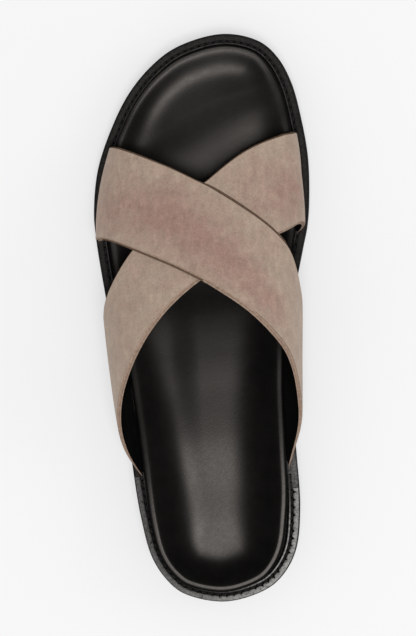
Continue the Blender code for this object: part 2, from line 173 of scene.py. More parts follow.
# Notches in the inner edge of the rand
NOTCH_DEPTH = 0.8 * MM
NOTCH_PERIODS = (1.7, 0.63)
NOTCH_UNEVENNESS = 0.7
NOTCH_SHARPNESS = 5
NOTCH_FADE = 50 * MM
LATERAL_NOTCHES = 0.2
NOTCH_START = 1.2 * MM

# Grooves under the sole
TREAD_PITCH = 6.5 * MM
TREAD_DEPTH = 0.9 * MM
TREAD_LAND = 0.2
TREAD_SWING = 1.6 * MM
TREAD_WAVE = 19 * MM
TREAD_BORDER = 4 * MM
TREAD_FADE = 2 * MM

# Footbed over the sole's top: bed, its crown, rims, widths of the walls, insets of the rim's crest
FOOTBED_COLUMNS = (
    "station", "bed", "crown", "lateral_rim", "medial_rim",
    "lateral_wall", "medial_wall", "lateral_crest", "medial_crest",
)
FOOTBED = (
    (0, 5.0, 0.0, 13.5, 13.5, 13, 13, 8.4, 8.4),
    (20, 4.7, 0.0, 13.7, 13.8, 14.5, 14.5, 7.4, 9.1),
    (40, 4.6, 0.0, 13.8, 14.0, 23, 25, 7.4, 8.7),
    (60, 4.5, 0.2, 13.4, 14.4, 25, 26, 8.1, 7.6),
    (85, 5.8, 0.5, 12.6, 15.0, 25, 26, 8.6, 6.7),
    (106, 6.3, 0.85, 11.6, 15.0, 22.5, 24, 8.6, 5.9),
    (125, 6.5, 1.1, 10.6, 14.6, 21, 23, 8.6, 5.4),
    (145, 6.35, 0.9, 9.6, 12.9, 21, 23, 8.6, 5.7),
    (165, 4.7, 0.4, 8.8, 11.0, 22, 24, 8.6, 6.4),
    (200, 5.9, 0.0, 8.8, 9.0, 22, 22, 8.6, 8.2),
    (217, 5.6, 0.0, 8.9, 9.0, 20, 20, 8.6, 8.4),
    (237, 5.5, 0.0, 8.2, 8.4, 17, 17, 8.6, 8.6),
    (252, 4.2, 0.0, 6.8, 6.7, 13.5, 14.5, 8.6, 8.6),
    (268, 2.7, 0.0, 5.5, 5.0, 14, 13, 8.6, 8.6),
    (287, 3.6, 0.0, 4.6, 4.4, 15, 13, 8.6, 8.6),
)

# The last that the straps are drawn over
LAST_COLUMNS = ("station", "lateral", "medial", "side_height", "ridge", "ridge_height")
LAST = (
    (60, -39.9, 38.6, 42, 2, 112),
    (92, -45.0, 43.0, 44, 2, 104),
    (120, -47.6, 44.8, 43, 2, 96),
    (145, -49.2, 46.4, 41, 3, 88),
    (165, -50.2, 47.0, 38, 4, 80),
    (187, -51.3, 50.2, 35, 5, 69),
    (212, -48.0, 50.0, 32, 6, 57),
    (245, -37.3, 47.0, 30, 8, 45),
)
SIDE_SHARE = 0.12
LEAN_START = 0.4
SHARE_STEP = 0.01

# Straps: share, stations of the front and the rear edge
STRAP_COLUMNS = ("share", "front", "rear")
UNDER_STRAP = (
    (0.00, 118, 65),
    (0.12, 142, 84),
    (0.25, 164, 113),
    (0.40, 193, 148),
    (0.50, 211, 165),
    (0.60, 224, 176),
    (0.75, 232, 185.4),
    (0.81, 233, 188),
    (0.88, 234, 187.6),
    (1.00, 234, 184.5),
)
OVER_STRAP = (
    (0.00, 231, 186.5),
    (0.12, 232, 186),
    (0.25, 229.5, 184.6),
    (0.40, 219, 172),
    (0.50, 207, 160),
    (0.60, 193.7, 147),
    (0.67, 184.3, 136),
    (0.75, 173, 122),
    (0.88, 149.5, 92),
    (1.00, 124, 65),
)
CROSSING_SHARES = (0.30, 0.71)
LIFT_RUN = 0.14
LARGEST_STRETCH = 2.2
# Material slots of the straps; the dark brown slot stands partly for painted shade where the upper strap lies
# on the lower one
NAP_SLOT, LINING_SLOT, EDGE_SLOT, DARK_EDGE_AND_SHADE_SLOT, MARGIN_SLOT, BORDER_SLOT = range(6)

# Straps' margins: widths in front as shares of the lining's own, and shares over the foot where they change;
# the widened dark brown margin over the crossing stands partly for painted shade under the upper strap's
# edges
FRONT_MARGIN = 0.6
CROSSING_MARGIN = 1.9
CROSSING_FRONT = (0.47, 0.53, 0.72, 0.78)
CROSSING_REAR = (0.2, 0.489)
BORDER_START = 0.62

# Pink patches in the nap: share, share of the way across, radius over, radius across, strength
UNDER_PATCHES = (
    (0.72, 0.45, 0.10, 0.30, 0.65),
    (0.80, 0.25, 0.06, 0.25, 0.40),
    (0.62, 0.70, 0.06, 0.20, 0.40),
    (0.30, 0.40, 0.06, 0.25, 0.15),
)
OVER_PATCHES = (
    (0.22, 0.35, 0.10, 0.28, 0.45),
    (0.42, 0.45, 0.13, 0.32, 1.00),
    (0.60, 0.32, 0.11, 0.27, 0.75),
)

# Fineness of the meshes
CURVE_STEPS = 24
FOOTBED_STEPS = 640
FOOTBED_COLUMNS_ACROSS = 64
UNDERSIDE_COLUMNS = 4
ROLL_STEPS = 8
RIM_STEPS = 12
EDGE_STEPS = 900
RAND_STEPS = 700
RAND_ROOM_STEPS = 120
SOLE_STEPS = 1120
TREAD_COLUMNS = 56
TOP_COLUMNS = 12
BREAST_STEPS = 8
ARCH_STEPS = 32
STRAP_STEPS_ALONG = 220
STRAP_STEPS_ACROSS = 48
ROOM_STEPS_ALONG = 60
ROOM_STEPS_ACROSS = 12
ROUND_STEPS = 4
STITCH_SIDES = 10
STITCH_STEPS = 9
HOLE_SIDES = 12
POINTS_AT_ONCE = 2000
MERGE_DISTANCE = 0.002 * MM
SHORTEST_EDGE = 0.001 * MM
SHARP_ANGLE = math.radians(50)

# Colours of the nap, how much pinker its clouds and flecks are, and how dark its streaks, mottle and grain
SUEDE_GREIGE = (0.318, 0.244, 0.19)
SUEDE_PINK = (0.268, 0.167, 0.136)
SHEEN_TINT = (1.0, 0.88, 0.8, 1)
CLOUD_PINK = (-0.18, 0.28)
FLECK_PINK = (-0.2, 0.2)
STREAK_TONE = (0.91, 1.09)
MOTTLE_TONE = (0.92, 1.08)
GRAIN_TONE = (0.86, 1.14)

# Other colours, the darker first, and those of the rand with their places in its noise
CUT_EDGE_TONES = ((0.22, 0.15, 0.112), (0.31, 0.222, 0.168))
# Dark brown of the straps' front edges and margins, partly painted shade over the crossing
DARK_EDGE_AND_SHADE_TONES = ((0.082, 0.05, 0.032), (0.125, 0.08, 0.053))
FOOTBED_BLACK = (0.0045, 0.0043, 0.0041)
LINING_BLACK = (0.005, 0.005, 0.005)
# The lighter tones of the lip and of the welt are painted highlights
LIP_TONES = ((0.024, 0.0232, 0.0225), (0.23, 0.222, 0.214))
WELT_TONES = ((0.0095, 0.0092, 0.009), (0.075, 0.073, 0.071))
RUBBER_TONES = ((0.016, 0.016, 0.016), (0.026, 0.026, 0.025))
THREAD_TONES = ((0.005, 0.005, 0.005), (0.014, 0.0137, 0.0134))
# Near-black painted shade in the stitch holes and in the gap under the footbed
SHADE_BLACK_TONES = ((0.001, 0.001, 0.001), (0.004, 0.004, 0.004))
# The rand's pale grey stands partly for painted reflection off its top
RAND_TONES = ((0.35, (0.02, 0.019, 0.018)), (0.44, (0.16, 0.155, 0.148)), (0.6, (0.29, 0.283, 0.272)))
LEATHER_TINT = (1.0, 0.92, 0.86, 1)
WHITE = (1, 1, 1, 1)

# Unevenness of colours and polish
NOISE_RANGE = (0.3, 0.7)
EDGE_RANGE = (0.35, 0.65)
LEATHER_SHARES = (0.8, 1.25)
POLISH_SWING = 0.02
WELT_UNEVEN_TONE = (0.3, 1.9)

# Painted highlights on the welt and its lip: x, station, distance to where the highlight is full, and to
# where it ends
LIP_HIGHLIGHT_SPOT = (29 * MM, 24 * MM, 8 * MM, 36 * MM)
WELT_HIGHLIGHT_SPOT = (38 * MM, 63 * MM, 6 * MM, 13 * MM)

# Painted shade on the rand, from the lateral to the medial side: its colour is darker on the lateral side
RAND_SHADE_SIDES = (-36 * MM, 12 * MM)
RAND_SIDE_SHADE = (0.36, 1.05)

# Footbed's gloss, between two places along the shoe
DULL_PLACES = (170 * MM - LENGTH / 2, 250 * MM - LENGTH / 2)
DULL_ROUGHNESS = (0.34, 0.37)

# Sockets of a node that mixes colours: factor and both colours, and the result
MIX_INPUTS = (0, 6, 7)
MIX_OUTPUT = 2

# Camera: where it stands over the shoe, and how much of its picture the shoe's length takes
IMAGE_HEIGHT = 636
SHOE_PIXELS = 566
SENSOR_HEIGHT = 24
CAMERA_OFFSET = Vector((53.6 * MM, 2.5 * MM))
CAMERA_HEIGHT = 1.22
CAMERA_TURN = math.radians(3.5)
AIM = Vector((0.0, 0.0, 20 * MM))

# Floor and light
FLOOR_HALF_SIDE = 3.0
FLOOR_GREY = (0.35, 0.35, 0.35, 1)
FLOOR_GLOW = 0.5
OVERHEAD_PLACE = (0.10, -0.29, 1.7)
SIDE_PLACE = (1.1, 0.1, 0.9)
SKY_STRENGTH = 0.72


# Curves


def smooth_curve(knots, values):
    """A smooth function of arrays through the given values."""
    spans = np.diff(values) / np.diff(knots)
    slopes = np.concatenate(([spans[0]], (spans[:-1] + spans[1:]) / 2, [spans[-1]]))

    def value_at(places):
        places = np.clip(places, knots[0], knots[-1])
        i = np.clip(np.searchsorted(knots, places, side="right") - 1, 0, len(knots) - 2)
        width = knots[i + 1] - knots[i]
        t = (places - knots[i]) / width
        rise = values[i + 1] - values[i]
        start, end = slopes[i] * width, slopes[i + 1] * width
        return values[i] + start * t + (3 * rise - 2 * start - end) * t**2 + (start + end - 2 * rise) * t**3

    return value_at


def table_curves(columns, rows, key_unit=MM):
    """One smooth function for each named column of a table, over the table's first column."""
    table = np.array(rows, dtype=float)
    return {
        name: smooth_curve(table[:, 0] * key_unit, table[:, index] * MM)
        for index, name in enumerate(columns)
        if index
    }


def ease(share):
    """0 to 1 with no slope at either end."""
    share = np.clip(share, 0.0, 1.0)
    return share * share * (3 - 2 * share)


def unit(vectors):
    """Vectors scaled to a length of one."""
    return vectors / np.linalg.norm(vectors, axis=-1, keepdims=True)


def dense_outline():
    """The smooth closed outline as many short chords, from the heel up the medial side and back down."""
    rows = np.array(OUTLINE, dtype=float) * MM
    medial, lateral = rows[:, (2, 0)], rows[::-1, (1, 0)]
    controls = np.vstack(([[HEEL_BACK_X, 0.0]], medial, [[TOE_TIP_X, LENGTH]], lateral))
    before, start, end, after = (np.roll(controls, shift, axis=0)[:, None] for shift in (1, 0, -1, -2))
    pairs = ((before, start), (start, end), (end, after))
    first, middle, last = (np.sqrt(np.linalg.norm(b - a, axis=2, keepdims=True)) for a, b in pairs)
    leave = ((start - before) / first - (end - before) / (first + middle) + (end - start) / middle) * middle
    arrive = ((end - start) / middle - (after - start) / (middle + last) + (after - end) / last) * middle
    t = (np.arange(CURVE_STEPS) / CURVE_STEPS)[None, :, None]
    rise = end - start
    bend = (3 * rise - 2 * leave - arrive) * t**2 + (leave + arrive - 2 * rise) * t**3
    return (start + leave * t + bend).reshape(-1, 2)


DENSE = dense_outline()
CHORDS = np.linalg.norm(np.roll(DENSE, -1, axis=0) - DENSE, axis=1)
ARCS = np.concatenate(([0.0], np.cumsum(CHORDS)))
PERIMETER = ARCS[-1]
TANGENTS = unit(np.roll(DENSE, -1, axis=0) - np.roll(DENSE, 1, axis=0))
TOE_INDEX = int(np.argmax(DENSE[:, 1]))
sole_top = smooth_curve(*np.array(SOLE_TOP, dtype=float).T * MM)
BED = table_curves(FOOTBED_COLUMNS, FOOTBED)
SHAPE = table_curves(LAST_COLUMNS, LAST)
SIDES = {
    "medial": DENSE[: TOE_INDEX + 1],
    "lateral": np.vstack((DENSE[:1], DENSE[TOE_INDEX:][::-1])),
}


def outline_at(arc, inset=0.0):
    """Plan points (x, station) after those lengths along the outline, moved inwards by the inset."""
    arc = np.mod(arc, PERIMETER)
    low = np.clip(np.searchsorted(ARCS, arc, side="right") - 1, 0, len(DENSE) - 1)
    high = (low + 1) % len(DENSE)
    share = ((arc - ARCS[low]) / CHORDS[low])[..., None]
    point = DENSE[low] * (1 - share) + DENSE[high] * share
    tangent = unit(TANGENTS[low] * (1 - share) + TANGENTS[high] * share)
    inward = np.stack((-tangent[..., 1], tangent[..., 0]), axis=-1)
    return point + inward * np.asarray(inset)[..., None]


def even_arcs(count, shift=0):
    """So many even steps along the outline, moved on by a share of a step."""
    return (np.arange(count) + shift) * PERIMETER / count


def edge_x(side, station):
    """x of the sole's edge at a station on one side."""
    return np.interp(station, SIDES[side][:, 1], SIDES[side][:, 0])


def edge_slope(side, station):
    """How the sole's edge moves in x along the shoe."""
    return (edge_x(side, station + MM) - edge_x(side, station - MM)) / (2 * MM)


def arc_of(side, station):
    """Length along the outline, from the heel, of a station on one side."""
    found = np.arange(TOE_INDEX) if side == "medial" else np.arange(TOE_INDEX, len(DENSE) - 1)
    return ARCS[found[np.argmin(np.abs(DENSE[found, 1] - station))]]


def distance_to_loop(plan, loop):
    """Distance of plan points from a closed line of points."""
    flat = plan.reshape(-1, 2)
    found = []
    for part in np.array_split(flat, max(1, len(flat) // POINTS_AT_ONCE)):
        nearest = ((part[:, None] - loop[None]) ** 2).sum(axis=2).argmin(axis=1)
        before, at, after = loop[nearest - 1], loop[nearest], loop[(nearest + 1) % len(loop)]
        found.append(np.minimum(distance_to_chord(part, before, at), distance_to_chord(part, at, after)))
    return np.concatenate(found).reshape(plan.shape[:-1])


def distance_to_chord(points, start, end):
    """Distance of each point from its own straight line between two ends."""
    way = end - start
    share = np.clip(((points - start) * way).sum(axis=1) / (way**2).sum(axis=1), 0, 1)
    return np.linalg.norm(points - start - share[:, None] * way, axis=1)


def sole_bottom(station):
    """Height of the sole's underside: flat, then rising to the toe."""
    reach = np.clip((station - SPRING_START) / (LENGTH - SPRING_START), 0.0, None)
    return TOE_SPRING * reach**2


def place(x, station, height):
    """Points of the shoe in the frame's metres."""
    return np.stack(np.broadcast_arrays(x, station - LENGTH / 2, height), axis=-1)


def raised(plan, height):
    """Plan points set at a height."""
    return place(plan[..., 0], plan[..., 1], height)


# Mesh building


def grid_faces(rows, columns, wrap=False):
    """Four-cornered faces of a grid of points stored row by row; wrap joins each row's end to its start."""
    last = columns if wrap else columns - 1
    row, column = np.meshgrid(np.arange(rows - 1), np.arange(last), indexing="ij")
    after = (column + 1) % columns
    here, above = row * columns, (row + 1) * columns
    corners = (here + column, here + after, above + after, above + column)
    return np.stack(corners, axis=-1).reshape(-1, 4)


def tube_faces(rows, columns, copies=1):
    """Faces of so many copies of a tube with closed ends, its rings stored one after another."""
    one = grid_faces(rows, columns, wrap=True).tolist()
    one += [list(range(columns)), list(range(rows * columns - columns, rows * columns))]
    return [[corner + index * rows * columns for corner in face] for index in range(copies) for face in one]


def closed_shell(rings, lids):
    """Points of a wall of rings and of the grids that close it, and the faces of each."""
    points = [np.array(rings).reshape(-1, 3)]
    faces = [grid_faces(len(rings), len(rings[0]), wrap=True)]
    for lid in lids:
        faces.append(grid_faces(*lid.shape[:2]) + sum(len(part) for part in points))
        points.append(lid.reshape(-1, 3))
    return np.vstack(points), faces


def new_mesh(name, points, faces):
    """A mesh of points and of faces that number them."""
    mesh = bpy.data.meshes.new(name)
    mesh.from_pydata(np.asarray(points).reshape(-1, 3).tolist(), [], [list(face) for face in faces])
    return mesh


def new_object(name, data):
    """An object in the scene."""
    made = bpy.data.objects.new(name, data)
    bpy.context.scene.collection.objects.link(made)
    return made


def new_piece(name, points, faces, materials, face_slots=None, replaces=(), values=None):
    """A closed mesh made into a piece that rides on the shoe; values are named numbers for each point."""
    mesh = new_mesh(name, points, faces)
    for value_name, numbers in (values or {}).items():
        mesh.attributes.new(value_name, "FLOAT", "POINT").data.foreach_set("value", numbers.ravel())
    for material in materials:
        mesh.materials.append(material)
    if face_slots is not None:
        mesh.polygons.foreach_set("material_index", np.asarray(face_slots, dtype=np.int32))
    clean_mesh(mesh)
    piece = new_object(name, mesh)
    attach(piece, BODY)
    if replaces:
        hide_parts(*replaces)
    return piece


def clean_mesh(mesh):
    """Merges coinciding points, points every face outwards and shades the mesh smooth between sharp edges."""
    data = bmesh.new()
    data.from_mesh(mesh)
    bmesh.ops.remove_doubles(data, verts=data.verts, dist=MERGE_DISTANCE)
    bmesh.ops.dissolve_degenerate(data, edges=data.edges, dist=SHORTEST_EDGE)
    bmesh.ops.recalc_face_normals(data, faces=data.faces)
    data.to_mesh(mesh)
    data.free()
    mesh.shade_smooth()
    mesh.set_sharp_from_angle(angle=SHARP_ANGLE)


def cut(piece, cutters):
    """Cuts the cutters' forms out of a piece and removes them."""
    for cutter in cutters:
        modifier = piece.modifiers.new(cutter.name, "BOOLEAN")
        modifier.operation = "DIFFERENCE"
        modifier.solver = "EXACT"
        modifier.object = cutter
    bpy.context.view_layer.update()
    evaluated = piece.evaluated_get(bpy.context.evaluated_depsgraph_get())
    mesh = bpy.data.meshes.new_from_object(evaluated)
    piece.modifiers.clear()
    old = piece.data
    piece.data = mesh
    bpy.data.meshes.remove(old)
    mesh.name = piece.name
    for cutter in cutters:
        bpy.data.objects.remove(cutter)
    clean_mesh(mesh)


def new_cutter(name, points, faces):
    """A closed mesh that only serves to cut another."""
    mesh = new_mesh(name, points, faces)
    clean_mesh(mesh)
    return new_object(name, mesh)


# Material nodes


def new_material(name):
    """A new material, its nodes and its Principled shader."""
    material = bpy.data.materials.new(name)
    material.use_nodes = True
    return material, material.node_tree, material.node_tree.nodes["Principled BSDF"]


def shade(tree, target, sockets):
    """Links or sets a node's inputs; an input is a value or another node's output."""
    for name, value in sockets.items():
        if isinstance(value, bpy.types.NodeSocket):
            tree.links.new(value, target.inputs[name])
        else:
            target.inputs[name].default_value = value


def node(tree, kind, inputs=None, **settings):
    """A node with its settings and inputs."""
    made = tree.nodes.new(kind)
    for name, value in settings.items():
        setattr(made, name, value)
    shade(tree, made, inputs or {})
    return made


def shoe_place(tree):
    """Where a point lies, in the shoe's own metres."""
    return node(tree, "ShaderNodeTexCoord").outputs["Object"]


def noise(tree, size, detail=3, roughness=0.6, distortion=0.0, stretch=(1, 1, 1)):
    """Noise with features of about the given size, over the shoe's own metres, stretched along the axes."""
    where = shoe_place(tree)
    if stretch != (1, 1, 1):
        scale = tuple(1 / times for times in stretch)
        where = node(tree, "ShaderNodeMapping", {"Vector": where, "Scale": scale}).outputs["Vector"]
    inputs = {"Vector": where, "Scale": 1 / size, "Detail": detail}
    inputs |= {"Roughness": roughness, "Distortion": distortion}
    return node(tree, "ShaderNodeTexNoise", inputs).outputs["Fac"]


def map_range(tree, value, source, target, kind="LINEAR"):
    """A number that runs over the target range while another runs over the source range."""
    (start, end), (low, high) = source, target
    inputs = {"Value": value, "From Min": start, "From Max": end, "To Min": low, "To Max": high}
    return node(tree, "ShaderNodeMapRange", inputs, interpolation_type=kind).outputs["Result"]


def spread(tree, factor, target):
    """A noise factor's middle range stretched over a target range."""
    return map_range(tree, factor, NOISE_RANGE, target)


def along_axis(tree, axis, places, values):
    """A number that runs between two values from one place to another along one of the shoe's axes."""
    where = node(tree, "ShaderNodeSeparateXYZ", {"Vector": shoe_place(tree)}).outputs[axis]
    return map_range(tree, where, places, values)


def combine(tree, operation, first, second, clamp=False):
    """Two numbers added or multiplied."""
    made = node(tree, "ShaderNodeMath", {0: first, 1: second}, operation=operation, use_clamp=clamp)
    return made.outputs[0]


def ramp(tree, factor, stops):
    """A colour ramp with stops of (place, colour)."""
    made = node(tree, "ShaderNodeValToRGB", {"Fac": factor})
    elements = made.color_ramp.elements
    while len(elements) < len(stops):
        elements.new(0.5)
    for element, (where, colour) in zip(elements, stops):
        element.position = where
        element.color = (*colour, 1)
    return made.outputs["Color"]


def two_tone(tree, factor, tones, reach=NOISE_RANGE):
    """A colour between two tones, over a range of a noise factor."""
    return ramp(tree, factor, tuple(zip(reach, tones)))


def mix(tree, factor, first, second, blend="MIX"):
    """Two colours mixed."""
    made = node(tree, "ShaderNodeMix", data_type="RGBA", blend_type=blend)
    values = ((*value, 1) if isinstance(value, tuple) else value for value in (factor, first, second))
    shade(tree, made, dict(zip(MIX_INPUTS, values)))
    return made.outputs[MIX_OUTPUT]


def bump(tree, height, distance, strength=0.6, normal=None):
    """A bump of the given depth in metres, over an earlier bump if there is one."""
    inputs = {"Height": height, "Distance": distance, "Strength": strength}
    if normal:
        inputs["Normal"] = normal
    return node(tree, "ShaderNodeBump", inputs).outputs["Normal"]


# Materials


def suede():
    """Napped suede: greige with pinkish clouds where the patches lie, brushed streaks and a fibre grain."""
    material, tree, shader = new_material("suede")
    patches = node(tree, "ShaderNodeAttribute", attribute_name="pink").outputs["Fac"]
    clouds = spread(tree, noise(tree, 15 * MM, distortion=0.5), CLOUD_PINK)
    flecks = spread(tree, noise(tree, 5 * MM, distortion=0.8), FLECK_PINK)
    pink = combine(tree, "ADD", patches, combine(tree, "ADD", clouds, flecks), clamp=True)
    streaks = spread(tree, noise(tree, 2.5 * MM, stretch=(1, 4, 2)), STREAK_TONE)
    mottle = spread(tree, noise(tree, 6 * MM, distortion=0.5), MOTTLE_TONE)
    grain = spread(tree, noise(tree, 1.0 * MM, roughness=0.7), GRAIN_TONE)
    tone = combine(tree, "MULTIPLY", combine(tree, "MULTIPLY", streaks, mottle), grain)
    colour = mix(tree, 1.0, mix(tree, pink, SUEDE_GREIGE, SUEDE_PINK), tone, "MULTIPLY")
    fibres = bump(tree, noise(tree, 0.35 * MM, detail=2, roughness=0.7), 0.12 * MM, strength=0.7)
    soft = noise(tree, 2.2 * MM, detail=2, roughness=0.5)
    nap = bump(tree, soft, 0.15 * MM, strength=0.5, normal=fibres)
    shade(tree, shader, {"Base Color": colour, "Roughness": 0.95, "Specular IOR Level": 0.15, "Normal": nap})
    shade(tree, shader, {"Sheen Weight": 0.2, "Sheen Roughness": 0.5, "Sheen Tint": SHEEN_TINT})
    return material


def edge_leather(name, tones, size, specular, depth):
    """The straps' edges: brown where cut, and dark brown along the front, over the crossing and in a line
    along the nap; over the crossing the dark brown stands partly for painted shade under the upper strap's
    edges.
    """
    material, tree, shader = new_material(name)
    colour = two_tone(tree, noise(tree, size), tones, EDGE_RANGE)
    shade(tree, shader, {"Base Color": colour, "Roughness": 0.8, "Specular IOR Level": specular})
    shade(tree, shader, {"Normal": bump(tree, noise(tree, 0.4 * MM, detail=2), depth)})
    return material


def grained_leather(name, shine, grain, depth):
    """Leather with a fine grain, whose colour and polish are still to be set."""
    material, tree, shader = new_material(name)
    bumps = bump(tree, noise(tree, grain, roughness=0.65), depth)
    shade(tree, shader, {"Normal": bumps, "Specular IOR Level": shine, "Specular Tint": LEATHER_TINT})
    return material, tree, shader


def uneven_black(tree, base):
    """A black that varies a little from place to place."""
    tones = [tuple(share * value for value in base) for share in LEATHER_SHARES]
    return two_tone(tree, noise(tree, 9 * MM), tones)


def uneven_polish(tree, roughness):
    """A roughness that varies a little from place to place."""
    return spread(tree, noise(tree, 2.5 * MM), (roughness - POLISH_SWING, roughness + POLISH_SWING))


def footbed_leather():
    """Smooth satin leather of the footbed, polished by the heel and duller towards the toe."""
    material, tree, shader = grained_leather("footbed_leather", shine=0.28, grain=0.9 * MM, depth=0.05 * MM)
    dull = along_axis(tree, "Y", DULL_PLACES, DULL_ROUGHNESS)
    polish = combine(tree, "ADD", dull, uneven_polish(tree, 0.0))
    shade(tree, shader, {"Base Color": uneven_black(tree, FOOTBED_BLACK), "Roughness": polish})
    return material


def lining_leather():
    """Matte lining of the straps."""
    material, tree, shader = grained_leather("lining_leather", shine=0.3, grain=0.8 * MM, depth=0.06 * MM)
    polish = uneven_polish(tree, 0.6)
    shade(tree, shader, {"Base Color": uneven_black(tree, LINING_BLACK), "Roughness": polish})
    return material


def spot(tree, x, station, near, far):
    """Where a painted highlight lies on the welt: 1 within the near distance of a place, falling to 0 at the
    far one.
    """
    centre = tuple(place(x, station, sole_top(station)))
    ends = {0: shoe_place(tree), 1: centre}
    away = node(tree, "ShaderNodeVectorMath", ends, operation="DISTANCE").outputs["Value"]
    return map_range(tree, away, (near, far), (1.0, 0.0), "SMOOTHSTEP")


def leather_with_painted_highlight(name, tones, roughness, where):
    """Matte black leather of the welt or of its lip, painted lighter grey round one place as a painted
    highlight.
    """
    material, tree, shader = grained_leather(name, shine=0.25, grain=0.6 * MM, depth=0.08 * MM)
    colour = mix(tree, spot(tree, *where), *tones)
    uneven = spread(tree, noise(tree, 1.6 * MM, detail=4, roughness=0.7), WELT_UNEVEN_TONE)
    shade(tree, shader, {"Base Color": mix(tree, 1.0, colour, uneven, "MULTIPLY")})
    shade(tree, shader, {"Roughness": uneven_polish(tree, roughness)})
    return material


def rand_board():
    """Rough grey heel rand with pale patches and dark pits; its pale grey stands partly for painted
    reflection, and it is darkened towards the lateral side as painted shade.
    """
    material, tree, shader = new_material("rand_board")
    specks = noise(tree, 1.3 * MM, detail=4, roughness=0.75, distortion=1.0)
    side_shade = along_axis(tree, "X", RAND_SHADE_SIDES, RAND_SIDE_SHADE)
    colour = mix(tree, 1.0, ramp(tree, specks, RAND_TONES), side_shade, "MULTIPLY")
    pits = bump(tree, specks, 0.3 * MM, strength=0.7)
    shade(tree, shader, {"Base Color": colour, "Roughness": 0.7, "Specular IOR Level": 0.35, "Normal": pits})
    return material


def sole_rubber():
    """Matte moulded rubber with a fine mould texture."""
    material, tree, shader = new_material("sole_rubber")
    colour = two_tone(tree, noise(tree, 12 * MM), RUBBER_TONES)
    texture = bump(tree, noise(tree, 0.7 * MM, detail=2), 0.06 * MM)
    shade(tree, shader, {"Base Color": colour, "Roughness": 0.62, "Normal": texture})
    return material


def thread_black():
    """Waxed black thread."""
    material, tree, shader = new_material("thread_black")
    twist = noise(tree, 0.3 * MM, detail=2, roughness=0.5)
    shade(tree, shader, {"Base Color": two_tone(tree, twist, THREAD_TONES), "Roughness": 0.6})
    shade(tree, shader, {"Specular IOR Level": 0.25, "Normal": bump(tree, twist, 0.08 * MM)})
    return material


def painted_shade_black():
    """Near-black painted shade inside the stitch holes and on the sole's top under the footbed, where it
    shows in the gap.
    """
    material, tree, shader = new_material("painted_shade_black")
    colour = two_tone(tree, noise(tree, 0.5 * MM, detail=2, roughness=0.5), SHADE_BLACK_TONES)
    shade(tree, shader, {"Base Color": colour, "Roughness": 0.9, "Specular IOR Level": 0.1})
    return material


# Footbed


def toe_places(arc):
    """Whether lengths along the outline are medial, their stations, and how far into toe and tip they lie."""
    medial = np.mod(arc, PERIMETER) < ARCS[TOE_INDEX]
    station = outline_at(arc)[..., 1]
    toe, tip = (ease((station - start) / (end - start)) for start, end in (TUCK_RANGE, TIP_RANGE))
    return medial, station, toe, tip


def rim_tuck(arc):
    """How much closer the rim's crest lies to the welt round the toe, most on the lateral side."""
    medial, _, toe, tip = toe_places(arc)
    side = LATERAL_TUCK * toe
    return np.where(medial, TIP_TUCK * tip, side + (TIP_TUCK - side) * tip)


def rim_bead(arc):
    """Width of the roll outside the rim's crest, narrow on the lateral toe and wide on the medial toe."""
    medial, _, toe, tip = toe_places(arc)
    return RIM_BEAD - BEAD_PER_TUCK * rim_tuck(arc) + np.where(medial, MEDIAL_ROLL * toe * (1 - tip), 0.0)


def rim_inset(arc):
    """Inset of the rim's crest at lengths along the outline."""
    medial, station, _, _ = toe_places(arc)
    return np.where(medial, BED["medial_crest"](station), BED["lateral_crest"](station)) - rim_tuck(arc)


def footbed_height(x, station, within, bead=RIM_BEAD):
    """Top of the footbed at a distance within the rim's crest: rolled rim, falling walls, bed and toe bar."""
    middle = np.clip(station, *SPINE_ENDS)
    spine = (edge_x("lateral", middle) + edge_x("medial", middle)) / 2
    medial = ease(0.5 + (x - spine) / ARCH_SIDE_REACH / 2)
    lateral = 1 - medial
    rim = BED["lateral_rim"](station) * lateral + BED["medial_rim"](station) * medial
    wall = BED["lateral_wall"](station) * lateral + BED["medial_wall"](station) * medial
    outside = np.clip(-within / bead, 0.0, 1.0)
    roll = rim - bead + bead * (1 - outside**RIM_SQUARENESS) ** (1 / RIM_SQUARENESS)
    inside = np.hypot(np.clip(within - RIM_FLAT, 0.0, None), RIM_SOFTNESS) - RIM_SOFTNESS
    fall = np.clip(inside / wall, 0.0, 1.0)
    crowned = ease((x - CROWN_SIDES[0]) / (CROWN_SIDES[1] - CROWN_SIDES[0]))
    slant = BAR_SLANT * ease(1 - np.abs(station - BAR_STATION) / BAR_REACH)
    bed = BED["bed"](station + slant * (BAR_MIDDLE - x)) + BED["crown"](station) * crowned
    hollow = bed + (rim - bed) * (1 - fall) ** WALL_POWER
    return sole_top(station) + np.where(within < 0, roll, hollow)


def across_ring(plan, columns):
    """Plan points on lines across a ring, from its lateral half to its medial half."""
    half = len(plan) // 2
    rows = np.arange(half + 1)
    medial, lateral = plan[rows], plan[-rows]
    share = np.linspace(0, 1, columns)[None, :, None]
    return lateral[:, None] * (1 - share) + medial[:, None] * share


